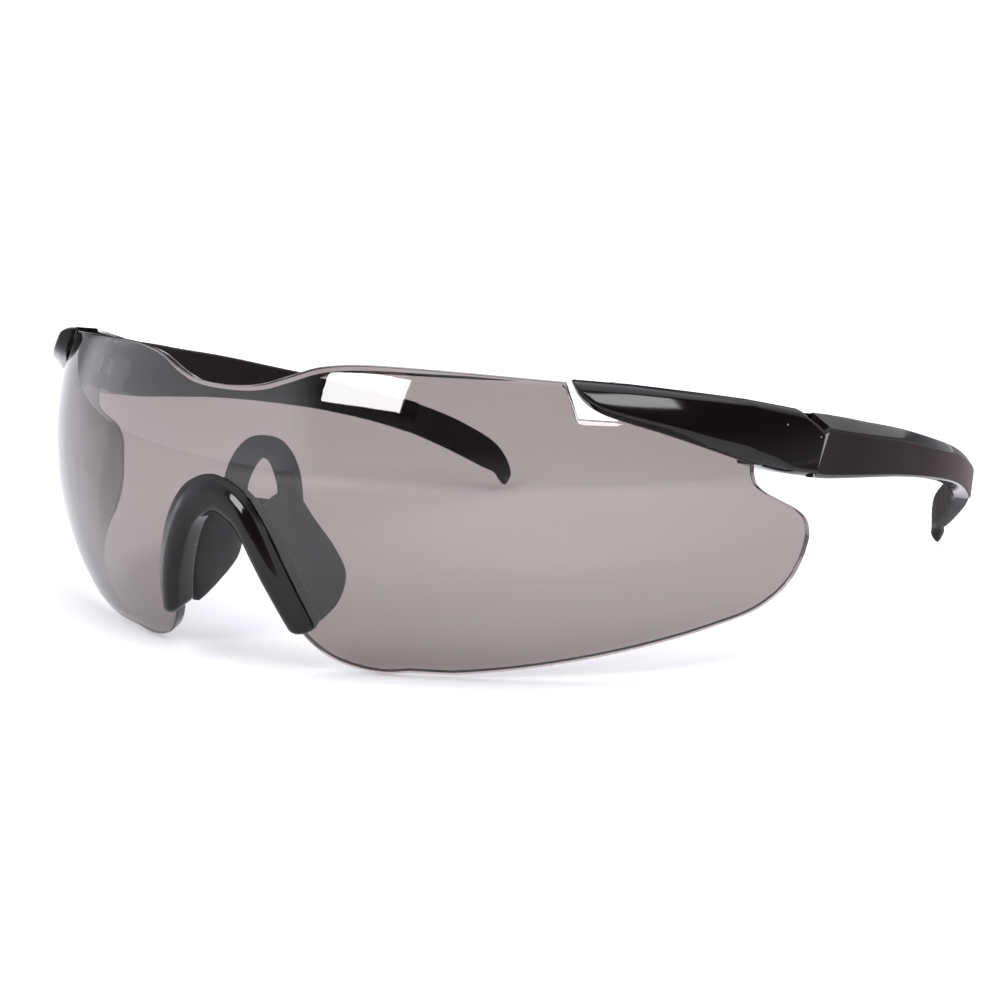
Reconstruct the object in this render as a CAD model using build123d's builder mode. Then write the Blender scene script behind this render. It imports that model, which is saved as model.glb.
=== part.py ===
"""Wraparound safety glasses: one curved visor lens, clip-on nose bridge, soft nose pad and two folding temples.

Everything is drawn as the glasses are worn: +X is the wearer's left, +Y runs back over the ears and +Z is up,
with zero at the middle of the lens's front face. The finished pieces are then tipped and lifted together until
the lens's lower edge and the two temple tips stand on the table, which is how the part is delivered.
"""
from build123d import *

import os
from math import cos, radians, sin, sqrt

os.makedirs("parts", exist_ok=True)

# ---------------------------------------------------------------- driving dimensions, mm
LENS_WRAP = 75.0          # radius of the lens's outer face seen from above
LENS_CROWN = 51.0         # radius of the same face seen from the side
LENS_THICK = 2.0
LENS_BOTTOM = -32.0
LENS_REAR = 44.7          # where the lens stops behind the end piece
LUG_TOP = 12.2            # top of the lens lug that the end piece holds
LEDGE_TOP = 9.9           # floor of the notch in front of the lug
FIT = 0.03                # gap left between faces that touch in one body

END_PROUD = 2.6           # end piece's outer face, in front of the lens
END_CHAMFER = 0.9
LONG_EDGE = 12            # only rim edges longer than this are chamfered
CLAMP_THICK = 1.4
CLAMP_SCREWS = ((34.5, 10.3), (41.3, 9.4))     # (y, z) of the two screws on each side
CLAMP_BITE = 1.55         # how deep these screws run into the end piece
SEAM_TOP = 56.2           # joint between end piece and temple, which leans forward going down
SEAM_BOTTOM = 53.3
SEAM_GAP = 0.25
TIP_ANGLE = 43.0          # where the end piece starts, measured round the lens from its middle, degrees

HINGE_X = 69.9
HINGE_Y = 58.7
EYE_R = 2.3               # hinge knuckles
SCREW_R = 0.75
HEAD_R = 1.5
HEAD_TALL = 0.9
SCREW_PLAY = 0.05         # radial play of the hinge screw in the temple's eye
EYE_BOTTOM = 5.6
EYE_TOP = 8.6
EAR_THICK = 2.2
EAR_GAP = 0.12
EAR_SKIN = 0.7            # plastic left above the end of the hinge screw
POCKET_GAP = 0.3

BRIDGE_PROUD = 1.9
BRIDGE_FLANGE = 1.2
BRIDGE_CHAMFER = 0.8
PAD_THICK = 1.8
LOOP_DEPTH = 2.0
LOOP_REAR = 13.2
PEG_X = 9.1               # pegs of the pad in the bridge's rear flange
PEG_Z = -18.5
PEG_R = 0.6
PEG_LONG = 0.7

BEVEL_SLANT = 0.6         # how far the temple's upper bevel runs in for each mm it runs down
REST_TILT = 7.7           # the lens leans this far back when the glasses lie on a table

AXLE = Plane(origin=(0, LENS_WRAP, 0), x_dir=(-1, 0, 0), z_dir=(0, 1, 0))
RING = LENS_WRAP - LENS_CROWN
ON_END = (Align.CENTER, Align.CENTER, Align.MIN)
UNDER_END = (Align.CENTER, Align.CENTER, Align.MAX)


# ---------------------------------------------------------------- shapes shared by several pieces
def curved_band(front, back):
    """Solid shell that follows the lens: `front` and `back` are the distances of its faces from the lens's
    outer face, positive forwards. It is an arc turned half a turn about the upright axis behind the lens."""
    with BuildPart() as band:
        with BuildSketch(AXLE):
            with BuildLine():
                outer = CenterArc((RING, 0), LENS_CROWN + front, -45, 75)
                inner = CenterArc((RING, 0), LENS_CROWN + back, -45, 75)
                Line(outer @ 0, inner @ 0)
                Line(outer @ 1, inner @ 1)
            make_face()
        revolve(axis=Axis((0, LENS_WRAP, 0), (0, 0, 1)), revolution_arc=180)
    return band.part


def lens_point(y, z, off=0.0):
    """Point of the lens's outer face on the wearer's left at (y, z), moved out by `off`, with its normal."""
    level = z / LENS_CROWN
    radius = RING + sqrt(LENS_CROWN**2 - z**2)
    x = sqrt(radius**2 - (LENS_WRAP - y) ** 2)
    flat = sqrt(1 - level**2)
    normal = Vector(x / radius * flat, (y - LENS_WRAP) / radius * flat, level)
    return Vector(x, y, z) + normal * off, normal


def lens_depth(x, z, off=0.0):
    """How far back the lens's outer face, moved out by `off`, lies at (x, z)."""
    radius = RING + sqrt((LENS_CROWN + off) ** 2 - z**2)
    return LENS_WRAP - sqrt(radius**2 - x**2)


def mirrored(piece):
    """The same piece for the wearer's right side."""
    with BuildPart() as other:
        add(piece)
        mirror(about=Plane.YZ, mode=Mode.REPLACE)
    return other


def arm_loft(stations):
    """Solid through upright sections along the arm. Each station gives the section's plane, its height, its
    thickness and how wide the bevel along its upper outer edge is."""
    with BuildPart() as arm:
        for plane, high, thick, bevel in stations:
            with BuildSketch(plane):
                with BuildLine():
                    Polyline((thick / 2, high / 2 - bevel), (thick / 2 - BEVEL_SLANT * bevel, high / 2),
                             (-thick / 2, high / 2), (-thick / 2, -high / 2), (thick / 2, -high / 2), close=True)
                make_face()
        loft()
    return arm.part


# ---------------------------------------------------------------- lens
# wearer's-left half of the nose cut, from the crest of its arch to the lens's lower edge
NOSE_EDGE = ((0, -8.0), (4.6, -10.9), (8.7, -19.8), (11.7, -27.0), (15.6, -30.4), (23.5, LENS_BOTTOM - 0.05))

with BuildPart() as lens:
    add(curved_band(0, -LENS_THICK))
    with BuildSketch(Plane.YZ):
        with BuildLine():
            Polyline((16.5, LENS_BOTTOM), (-10, LENS_BOTTOM), (-10, 25), (LENS_REAR, 25), (LENS_REAR, 2.6))
            Polyline((LENS_REAR, 2.6), (46.4, 0.7), (54.6, -2.6), (56.9, -5.4), (56.6, -8.0))
            Spline((56.6, -8.0), (55.8, -13.6), (51.4, -17.8), tangents=[(-0.15, -1), (-0.9, -0.42)])
            Spline((51.4, -17.8), (37.5, -23.8), (23.4, -29.6), (16.5, LENS_BOTTOM),
                   tangents=[(-0.9, -0.42), (-1, -0.1)])
        make_face()
    extrude(amount=90, both=True, mode=Mode.INTERSECT)
    with BuildSketch(Plane.XZ):
        with BuildLine():
            half = Spline((0, 10.3), (6.5, 10.95), (15.5, 14.2), (24, 15.4), tangents=[(1, 0), (1, 0.02)])
            Polyline(half @ 1, (48.8, 15.2), (51.2, LEDGE_TOP), (55.3, LEDGE_TOP), (58.4, LUG_TOP),
                     (80, LUG_TOP), (80, -40), (0, -40))
            Line((0, -40), half @ 0)
        make_face()
        mirror(about=Plane.YZ)
    extrude(amount=90, both=True, mode=Mode.INTERSECT)
    with BuildSketch(Plane.XZ):
        with BuildLine():
            edge = Spline(*NOSE_EDGE, tangents=[(1, 0), (1, -0.05)])
            Polyline(edge @ 1, (23.5, -40), (0, -40), edge @ 0)
        make_face()
        mirror(about=Plane.YZ)
    extrude(amount=40, both=True, mode=Mode.SUBTRACT)
    for y, z in CLAMP_SCREWS:
        spot, normal = lens_point(y, z)
        for hand in (1, -1):
            out = (hand * normal.X, normal.Y, normal.Z)
            with Locations(Plane(origin=(hand * spot.X, spot.Y, spot.Z), z_dir=out)):
                Cylinder(SCREW_R + FIT, 3 * LENS_THICK, mode=Mode.SUBTRACT)
lens.part.label = "lens"

# ---------------------------------------------------------------- end pieces, on the lens's outer face
EAR_BOTTOM = EYE_BOTTOM - EAR_GAP - EAR_THICK
EAR_TOP = EYE_TOP + EAR_GAP + EAR_THICK
SEAM_LOW_END = (SEAM_BOTTOM, 3.2)
SEAM_HIGH_END = (SEAM_TOP, EAR_TOP)
BEVEL_START = (52.0, 13.4)

with BuildPart() as lens_seat:
    add(curved_band(FIT, -10))
    with BuildSketch(Plane.YZ):
        with BuildLine():
            Polyline((10, -10), (10, 20), (24.7, 20), (24.7, LEDGE_TOP + 0.1), (25.7, LEDGE_TOP + 0.1),
                     (30.1, LUG_TOP + 0.1), (LENS_REAR + 0.1, LUG_TOP + 0.1), (LENS_REAR + 0.1, -10), close=True)
        make_face()
    extrude(amount=90, mode=Mode.INTERSECT)

with BuildPart() as left_endpiece:
    add(curved_band(END_PROUD, -LENS_THICK - CLAMP_THICK))
    with BuildSketch(Plane.YZ):
        with BuildLine():
            top = Spline((18.0, 15.65), (36.3, 14.95), BEVEL_START)
            Polyline(top @ 1, SEAM_HIGH_END, SEAM_LOW_END)
            under = Spline(SEAM_LOW_END, (43.6, 4.7), (33.0, 7.8), (25.4, 9.95), (22.3, 11.4), (20.9, 14.0),
                           tangents=[(-1, 0.05), (0, 1)])
            Polyline(under @ 1, (18.0, 14.0), top @ 0)
        make_face()
    extrude(amount=90, mode=Mode.INTERSECT)
    tip_way = (cos(radians(TIP_ANGLE)), sin(radians(TIP_ANGLE)), 0)
    split(bisect_by=Plane(origin=(0, LENS_WRAP, 0), x_dir=(0, 0, 1), z_dir=tip_way), keep=Keep.TOP)
    outer_face = left_endpiece.faces().sort_by(SortBy.AREA)[-2:].sort_by(Axis.X)[-1]
    rim = [edge for edge in outer_face.edges() if edge.length > LONG_EDGE]
    chamfer(rim, length=END_CHAMFER)
    add(lens_seat.part, mode=Mode.SUBTRACT)
    for low in (EAR_BOTTOM, EYE_TOP + EAR_GAP):
        with BuildSketch(Plane.XY.offset(low)):
            with Locations((HINGE_X, HINGE_Y)):
                Circle(EYE_R)
            with Locations((HINGE_X, HINGE_Y)):
                Rectangle(2 * EYE_R, HINGE_Y - SEAM_BOTTOM + 1, align=(Align.CENTER, Align.MAX))
        extrude(amount=EAR_THICK)
    with BuildSketch(Plane.XY.offset(EAR_BOTTOM)):
        with Locations((HINGE_X, HINGE_Y)):
            Circle(SCREW_R + FIT)
    extrude(amount=EAR_TOP - EAR_BOTTOM - EAR_SKIN, mode=Mode.SUBTRACT)
    with BuildSketch(Plane.XY.offset(EAR_BOTTOM)):
        with Locations((HINGE_X, HINGE_Y)):
            Circle(HEAD_R + FIT)
    extrude(amount=HEAD_TALL + 0.1, mode=Mode.SUBTRACT)
    for y, z in CLAMP_SCREWS:
        spot, normal = lens_point(y, z)
        with Locations(Plane(origin=spot, z_dir=normal)):
            Cylinder(SCREW_R + FIT, CLAMP_BITE + 0.1, align=ON_END, mode=Mode.SUBTRACT)
left_endpiece.part.label = "left_endpiece"

# ---------------------------------------------------------------- clamp plates and their screws, behind the lens
with BuildPart() as left_lens_clamp:
    add(curved_band(-LENS_THICK - FIT, -LENS_THICK - CLAMP_THICK))
    with BuildSketch(Plane.YZ) as plate_outline:
        with BuildLine():
            Polyline((28.8, 10.4), (30.2, LUG_TOP), (LENS_REAR, LUG_TOP), (LENS_REAR, 6.4), (36.5, 8.0), close=True)
        make_face()
        fillet(plate_outline.vertices(), radius=0.6)
    extrude(amount=90, mode=Mode.INTERSECT)
    for y, z in CLAMP_SCREWS:
        spot, normal = lens_point(y, z)
        with Locations(Plane(origin=spot, z_dir=normal)):
            Cylinder(SCREW_R + FIT, 12, mode=Mode.SUBTRACT)
left_lens_clamp.part.label = "left_lens_clamp"

with BuildPart() as left_clamp_screws:
    for y, z in CLAMP_SCREWS:
        spot, normal = lens_point(y, z, -LENS_THICK - CLAMP_THICK - FIT)
        with Locations(Plane(origin=spot, z_dir=normal)):
            Cylinder(SCREW_R, LENS_THICK + CLAMP_THICK + CLAMP_BITE, align=ON_END)
            Cylinder(HEAD_R, HEAD_TALL, align=UNDER_END)
with BuildPart() as clamp_screws:
    add(left_clamp_screws.part)
    mirror(about=Plane.YZ)
clamp_screws.part.label = "clamp_screws"

# ---------------------------------------------------------------- temples
# middle (x, y, z), height, thickness and bevel of each section; the rubber tip takes over at the eighth
ROUTE = (
    (71.2, 50.0, 8.2, 10.8, 6.4, 2.4),
    (71.4, 60.0, 7.75, 9.95, 6.2, 2.4),
    (72.0, 70.0, 7.25, 8.95, 5.4, 2.2),
    (71.9, 84.0, 6.6, 7.85, 4.7, 2.0),
    (70.7, 100.0, 5.2, 6.75, 4.1, 1.7),
    (67.9, 114.0, 3.65, 6.2, 3.8, 1.5),
    (63.8, 127.0, 1.4, 6.1, 3.6, 1.3),
    (60.5, 135.0, -0.5, 6.5, 3.6, 1.0),
    (56.4, 141.8, -3.3, 6.7, 3.6, 1.0),
    (51.9, 147.9, -7.0, 6.2, 3.2, 0.9),
    (48.9, 152.3, -12.35, 3.8, 2.4, 0.6),
)
TIP_START = 7
TANG_HIGH = 2.6           # the temple's core inside the rubber tip
TANG_THICK = 1.4
TANG_BEVEL = 0.3

arm_planes = []
for place, station in enumerate(ROUTE):
    ahead = Vector(*ROUTE[min(place + 1, len(ROUTE) - 1)][:3])
    behind = Vector(*ROUTE[max(place - 1, 0)][:3])
    along = (ahead - behind).normalized()
    across = along.cross(Vector(0, 0, 1)).normalized()
    arm_planes.append(Plane(origin=station[:3], x_dir=across, z_dir=-along))
sections = [(plane, *station[3:]) for plane, station in zip(arm_planes, ROUTE)]
tang = arm_loft([(plane, TANG_HIGH, TANG_THICK, TANG_BEVEL) for plane in arm_planes[TIP_START:-1]])

with BuildPart() as left_temple:
    add(arm_loft(sections[: TIP_START + 1]))
    with BuildSketch(Plane.YZ):
        with BuildLine():
            Polyline((40, -8), (SEAM_LOW_END[0] + SEAM_GAP, -8), (SEAM_LOW_END[0] + SEAM_GAP, SEAM_LOW_END[1]),
                     (SEAM_HIGH_END[0] + SEAM_GAP, SEAM_HIGH_END[1]),
                     (BEVEL_START[0] + 0.1, BEVEL_START[1] + SEAM_GAP), (45, 18), (40, 18), close=True)
        make_face()
    extrude(amount=90, mode=Mode.SUBTRACT)
    clear = EYE_R + POCKET_GAP
    ceiling = EAR_TOP + EAR_GAP
    with BuildSketch(Plane.XY.offset(-5)):
        with Locations((HINGE_X + clear, HINGE_Y)):
            Rectangle(12, 12, align=(Align.MAX, Align.MAX))
    extrude(amount=ceiling + 5, mode=Mode.SUBTRACT)
    for low, tall in ((-5, EYE_BOTTOM + 5), (EYE_TOP, ceiling - EYE_TOP)):
        with BuildSketch(Plane.XY.offset(low)):
            with Locations((HINGE_X, HINGE_Y)):
                Circle(clear)
            with Locations((HINGE_X, HINGE_Y + clear)):
                Rectangle(12, 12, align=(Align.MAX, Align.MAX))
        extrude(amount=tall, mode=Mode.SUBTRACT)
    with BuildSketch(Plane.XY.offset(ceiling)):
        with Locations((HINGE_X, HINGE_Y)):
            Rectangle(12, 12, align=(Align.MAX, Align.MAX))
    extrude(amount=6, mode=Mode.SUBTRACT)
    with BuildSketch(Plane.XY.offset(EYE_BOTTOM)):
        with Locations((HINGE_X, HINGE_Y)):
            Circle(EYE_R)
    extrude(amount=EYE_TOP - EYE_BOTTOM)
    with Locations((HINGE_X, HINGE_Y, (EYE_BOTTOM + EYE_TOP) / 2)):
        Cylinder(SCREW_R + SCREW_PLAY, EYE_TOP - EYE_BOTTOM, mode=Mode.SUBTRACT)
    add(tang)
left_temple.part.label = "left_temple"

with BuildPart() as left_temple_tip:
    add(arm_loft(sections[TIP_START:]))
    add(tang, mode=Mode.SUBTRACT)
left_temple_tip.part.label = "left_temple_tip"

with BuildPart() as hinge_screws:
    with Locations((HINGE_X, HINGE_Y, EAR_BOTTOM + 0.1), (-HINGE_X, HINGE_Y, EAR_BOTTOM + 0.1)):
        Cylinder(SCREW_R, EAR_TOP - EAR_BOTTOM - EAR_SKIN - 0.2, align=ON_END)
        Cylinder(HEAD_R, HEAD_TALL, align=ON_END)
hinge_screws.part.label = "hinge_screws"

# ---------------------------------------------------------------- nose bridge, a channel clipped over the lens's edge
with BuildPart() as lens_slot:
    add(curved_band(FIT, -LENS_THICK - FIT))
    with BuildSketch(Plane.XZ):
        with BuildLine():
            edge = Spline(*((0.985 * x, z - 0.1) for x, z in NOSE_EDGE), tangents=[(1, 0), (1, -0.05)])
            Polyline(edge @ 1, (40, -32), (40, 20), (0, 20), edge @ 0)
        make_face()
        mirror(about=Plane.YZ)
    extrude(amount=90, both=True, mode=Mode.INTERSECT)

PEG_BACK = lens_depth(PEG_X, PEG_Z, -LENS_THICK - BRIDGE_FLANGE)

with BuildPart() as nose_bridge:
    add(curved_band(BRIDGE_PROUD, -LENS_THICK - BRIDGE_FLANGE))
    with BuildSketch(Plane.XZ):
        with BuildLine():
            outer = Spline((0, -3.1), (5.4, -5.1), (9.5, -9.8), (13.1, -18.4), (15.2, -24.6),
                           tangents=[(1, 0), (0.3, -1)])
            inner = Spline((0, -9.2), (4.2, -11.7), (8.2, -19.8), (10.9, -25.2), tangents=[(1, 0), (0.45, -1)])
            Polyline(outer @ 1, (15.0, -26.6), (11.8, -26.6), inner @ 1)
            Line(inner @ 0, outer @ 0)
        make_face()
        mirror(about=Plane.YZ)
    extrude(amount=40, both=True, mode=Mode.INTERSECT)
    front_rim = [edge for edge in nose_bridge.faces().sort_by(Axis.Y)[0].edges() if edge.length > LONG_EDGE]
    chamfer(front_rim, length=BRIDGE_CHAMFER)
    add(lens_slot.part, mode=Mode.SUBTRACT)
    for hand in (1, -1):
        with Locations(Plane(origin=(hand * PEG_X, PEG_BACK + 0.5, PEG_Z), z_dir=(0, -1, 0))):
            Cylinder(PEG_R + FIT, PEG_LONG + 0.5 + FIT, align=ON_END, mode=Mode.SUBTRACT)
nose_bridge.part.label = "nose_bridge"

# ---------------------------------------------------------------- nose pad, a soft saddle behind the bridge
# (height, x of the front edge, x and y of the rear edge) of each level of a wing
PAD_LEVELS = (
    (-6.8, 6.3, 6.3, 13.6),
    (-10.0, 6.8, 7.4, 16.7),
    (-14.0, 8.4, 9.3, 19.6),
    (-18.0, 9.9, 11.0, 21.0),
    (-22.0, 11.6, 12.3, 17.8),
    (-24.8, 12.8, 12.7, 13.6),
)
PAD_FRONT = -LENS_THICK - BRIDGE_FLANGE - 0.2
with BuildPart() as nose_pad:
    for level, front_x, rear_x, rear_y in PAD_LEVELS:
        front_y = lens_depth(front_x, level, PAD_FRONT)
        with BuildSketch(Plane.XY.offset(level)):
            with BuildLine():
                Polyline((front_x, front_y), (rear_x, rear_y), (rear_x - PAD_THICK, rear_y),
                         (front_x - PAD_THICK, front_y), close=True)
            make_face()
    loft(ruled=True)
    mirror(about=Plane.YZ)
    with BuildSketch(Plane.XZ.offset(-LOOP_REAR)):
        with BuildLine():
            crest = Spline((0, 2.4), (5.2, 0), (6.9, -3.0), (7.2, -7.4), tangents=[(1, 0), (0.05, -1)])
            window = Spline((0, -0.9), (2.1, -2.9), (3.4, -7.4), tangents=[(1, 0), (0.1, -1)])
            Line(crest @ 1, window @ 1)
            Line(crest @ 0, window @ 0)
        make_face()
        mirror(about=Plane.YZ)
    extrude(amount=LOOP_DEPTH)
    for hand in (1, -1):
        with Locations(Plane(origin=(hand * PEG_X, PEG_BACK + 0.4, PEG_Z), z_dir=(0, -1, 0))):
            Cylinder(PEG_R, PEG_LONG + 0.4, align=ON_END)
nose_pad.part.label = "nose_pad"

# ---------------------------------------------------------------- right-hand pieces, resting pose and files
right_endpiece = mirrored(left_endpiece.part)
right_lens_clamp = mirrored(left_lens_clamp.part)
right_temple = mirrored(left_temple.part)
right_temple_tip = mirrored(left_temple_tip.part)

pieces = {
    "lens": lens,
    "nose_bridge": nose_bridge,
    "nose_pad": nose_pad,
    "left_endpiece": left_endpiece,
    "right_endpiece": right_endpiece,
    "left_lens_clamp": left_lens_clamp,
    "right_lens_clamp": right_lens_clamp,
    "clamp_screws": clamp_screws,
    "hinge_screws": hinge_screws,
    "left_temple": left_temple,
    "left_temple_tip": left_temple_tip,
    "right_temple": right_temple,
    "right_temple_tip": right_temple_tip,
}
tipped = Rot(X=-REST_TILT)
reach = Compound([tipped * piece.part for piece in pieces.values()]).bounding_box()
resting = Pos(0, -(reach.min.Y + reach.max.Y) / 2, -reach.min.Z) * tipped
for name, piece in pieces.items():
    piece.part = resting * piece.part
    piece.part.label = name
    export_step(piece.part, f"parts/{name}.step")

print("stands on z = 0 inside", reach.size)
print("hinge middle", (resting * Pos(HINGE_X, HINGE_Y, (EYE_BOTTOM + EYE_TOP) / 2)).position)
print("zero of the worn frame", resting.position, "tipped by", REST_TILT)
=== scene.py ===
"""Looks of the wraparound safety glasses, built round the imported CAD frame.

The worn frame has zero at the middle of the lens's front face, +X to the wearer's left, +Y back over the
ears and +Z up. Shapes are worked out there in millimetres, then tipped and moved into the row frame in
metres.
"""
import math

import bpy
import numpy as np
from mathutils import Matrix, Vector


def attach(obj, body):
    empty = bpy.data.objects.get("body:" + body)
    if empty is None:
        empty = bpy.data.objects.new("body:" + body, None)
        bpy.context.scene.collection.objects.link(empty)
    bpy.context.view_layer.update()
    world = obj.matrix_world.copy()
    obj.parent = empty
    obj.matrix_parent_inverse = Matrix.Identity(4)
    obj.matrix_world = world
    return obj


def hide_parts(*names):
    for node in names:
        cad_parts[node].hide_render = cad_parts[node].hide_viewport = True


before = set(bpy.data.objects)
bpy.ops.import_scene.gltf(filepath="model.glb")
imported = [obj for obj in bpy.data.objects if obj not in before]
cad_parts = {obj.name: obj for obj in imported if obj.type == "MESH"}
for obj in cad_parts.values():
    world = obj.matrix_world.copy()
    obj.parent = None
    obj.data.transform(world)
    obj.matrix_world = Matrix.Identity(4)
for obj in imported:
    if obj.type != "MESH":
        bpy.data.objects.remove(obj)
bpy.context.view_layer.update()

# ---------------------------------------------------------------- lens
# One visor lens, injection moulded in lightly smoked polycarbonate 2 mm thick. Both faces are polished in
# the mould and follow one doubly curved shell. The edge is slightly rounded by tumbling.
LENS_WRAP = 75.0          # radius of the outer face seen from above, mm
LENS_CROWN = 51.0         # radius of the same face seen from the side, mm
LENS_THICK = 2.0
REST_TILT = math.radians(7.7)
WORN_ZERO = (0.0, -74.3316, 33.9305)  # where that zero stands when the glasses rest on the table, mm


def to_rest(points):
    """Worn-frame millimetres to row-frame metres: a turn about X by the resting tilt, then a shift."""
    x, y, z = np.asarray(points, float).reshape(-1, 3).T
    c, s = math.cos(REST_TILT), math.sin(REST_TILT)
    turned = np.column_stack([x, c * y + s * z, -s * y + c * z])
    return (turned + WORN_ZERO) / 1000


def shell(turn, z, off):
    """Point at angle `turn` round the lens and height z on the outer face, moved out along its normal by
    `off`. The face is an arc of radius LENS_CROWN turned about the upright axis LENS_WRAP behind it."""
    slope = z / LENS_CROWN
    reach = LENS_WRAP - LENS_CROWN + np.sqrt(LENS_CROWN**2 - z**2) + off * np.sqrt(1 - slope**2)
    return np.stack([reach * np.sin(turn), LENS_WRAP - reach * np.cos(turn), z + off * slope], axis=-1)


def turn_at_x(x, z):
    """Angle round the lens of the face's point at (x, z)."""
    return np.arcsin(x / (LENS_WRAP - LENS_CROWN + np.sqrt(LENS_CROWN**2 - z**2)))


def turn_at_y(y, z):
    """Angle round the lens of the face's point at (y, z) on the wearer's left."""
    return np.arccos((LENS_WRAP - y) / (LENS_WRAP - LENS_CROWN + np.sqrt(LENS_CROWN**2 - z**2)))


def smooth_curve(points, count):
    """Centripetal Catmull-Rom curve through the points, as `count` samples even in arc length."""
    p = np.asarray(points, float)
    p = np.vstack([2 * p[0] - p[1], p, 2 * p[-1] - p[-2]])
    knot = np.concatenate([[0], np.cumsum(np.linalg.norm(np.diff(p, axis=0), axis=1) ** 0.5)])
    t = np.linspace(knot[1], knot[-2], 40 * count)
    k = np.clip(np.searchsorted(knot, t, side="right") - 1, 1, len(p) - 3)
    t0, t1, t2, t3 = (knot[k + j][:, None] for j in (-1, 0, 1, 2))
    p0, p1, p2, p3 = (p[k + j] for j in (-1, 0, 1, 2))
    t = t[:, None]
    a1 = (t1 - t) / (t1 - t0) * p0 + (t - t0) / (t1 - t0) * p1
    a2 = (t2 - t) / (t2 - t1) * p1 + (t - t1) / (t2 - t1) * p2
    a3 = (t3 - t) / (t3 - t2) * p2 + (t - t2) / (t3 - t2) * p3
    b1 = (t2 - t) / (t2 - t0) * a1 + (t - t0) / (t2 - t0) * a2
    b2 = (t3 - t) / (t3 - t1) * a2 + (t - t1) / (t3 - t1) * a3
    curve = (t2 - t) / (t2 - t1) * b1 + (t - t1) / (t2 - t1) * b2
    length = np.concatenate([[0], np.cumsum(np.linalg.norm(np.diff(curve, axis=0), axis=1))])
    even = np.linspace(0, length[-1], count)
    return np.column_stack([np.interp(even, length, axis) for axis in curve.T])


def mesh_piece(name, points, faces, sharp_degrees):
    """Object whose mesh has these worn-frame points and faces, shaded smooth but for edges that turn by more
    than `sharp_degrees`."""
    mesh = bpy.data.meshes.new(name)
    mesh.from_pydata(to_rest(points).tolist(), [], [tuple(int(i) for i in face) for face in faces])
    mesh.validate()
    piece = bpy.data.objects.new(name, mesh)
    bpy.context.scene.collection.objects.link(piece)
    mesh.shade_smooth()
    mesh.set_sharp_from_angle(angle=math.radians(sharp_degrees))
    return piece


def tube_faces(rows, columns):
    """Quads between the closed rows of a rows by columns grid of points, last column joined to the first."""
    i, j = np.meshgrid(np.arange(rows - 1), np.arange(columns), indexing="ij")
    k = (j + 1) % columns
    row, following = i * columns, (i + 1) * columns
    return np.stack([row + j, row + k, following + k, following + j], axis=-1).reshape(-1, 4)


def linear(code):
    """Linear colour, with full alpha, of an sRGB hex colour such as '1a2b3c'."""
    srgb = np.array([int(code[i:i + 2], 16) for i in (0, 2, 4)]) / 255
    rgb = np.where(srgb <= 0.04045, srgb / 12.92, ((srgb + 0.055) / 1.055) ** 2.4)
    return (*rgb.tolist(), 1.0)


def add_node(tree, kind, settings=None, inputs=None):
    """New node with its settings; each input is a value, or an output socket to link from."""
    node = tree.nodes.new(kind)
    for key, value in (settings or {}).items():
        setattr(node, key, value)
    for key, value in (inputs or {}).items():
        if isinstance(value, bpy.types.NodeSocket):
            tree.links.new(value, node.inputs[key])
        else:
            node.inputs[key].default_value = value
    return node


def new_material(name):
    """Empty node material and its tree."""
    material = bpy.data.materials.new(name)
    material.use_nodes = True
    material.node_tree.nodes.clear()
    return material, material.node_tree


def finish_surface(tree, shader):
    """Links a shader's output to the material's surface."""
    add_node(tree, "ShaderNodeOutputMaterial", inputs={"Surface": shader})


def cells_of(millimetres):
    """Scale of a texture on Object coordinates, in metres, whose cells are this many millimetres across."""
    return 1000 / millimetres


def closed_loft(loops):
    """Points and faces of the closed skin over a row of closed loops (rows by points by 3). Its two ends are
    closed by fans to their middles, and its faces point outwards."""
    rows, count = loops.shape[:2]
    middles = loops[[0, -1]].mean(axis=1)
    points = np.concatenate([loops.reshape(-1, 3), middles])
    k = np.arange(count)
    follow = (k + 1) % count
    low = np.column_stack([np.full(count, rows * count), follow, k])
    last_row = (rows - 1) * count
    high = np.column_stack([np.full(count, rows * count + 1), last_row + k, last_row + follow])
    faces = tube_faces(rows, count).tolist() + low.tolist() + high.tolist()
    triangles = np.array([(f[0], f[i], f[i + 1]) for f in faces for i in range(1, len(f) - 1)])
    a, b, c = (points[triangles[:, i]] for i in range(3))
    if np.einsum("ij,ij->i", a, np.cross(b, c)).sum() < 0:
        faces = [face[::-1] for face in faces]
    return points, faces


def in_wrap(points, seen_from_side=False):
    """(x, z) or, seen from the side, (y, z) outline points as (distance round the lens, height)."""
    turn = (turn_at_y if seen_from_side else turn_at_x)(points[:, 0], points[:, 1])
    return np.column_stack([LENS_WRAP * turn, points[:, 1]])


def even_steps(curve, steps):
    """`steps` points even in length along a polyline."""
    length = np.concatenate([[0], np.cumsum(np.linalg.norm(np.diff(curve, axis=0), axis=1))])
    even = np.linspace(0, length[-1], steps)
    return np.column_stack([np.interp(even, length, axis) for axis in curve.T])


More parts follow.
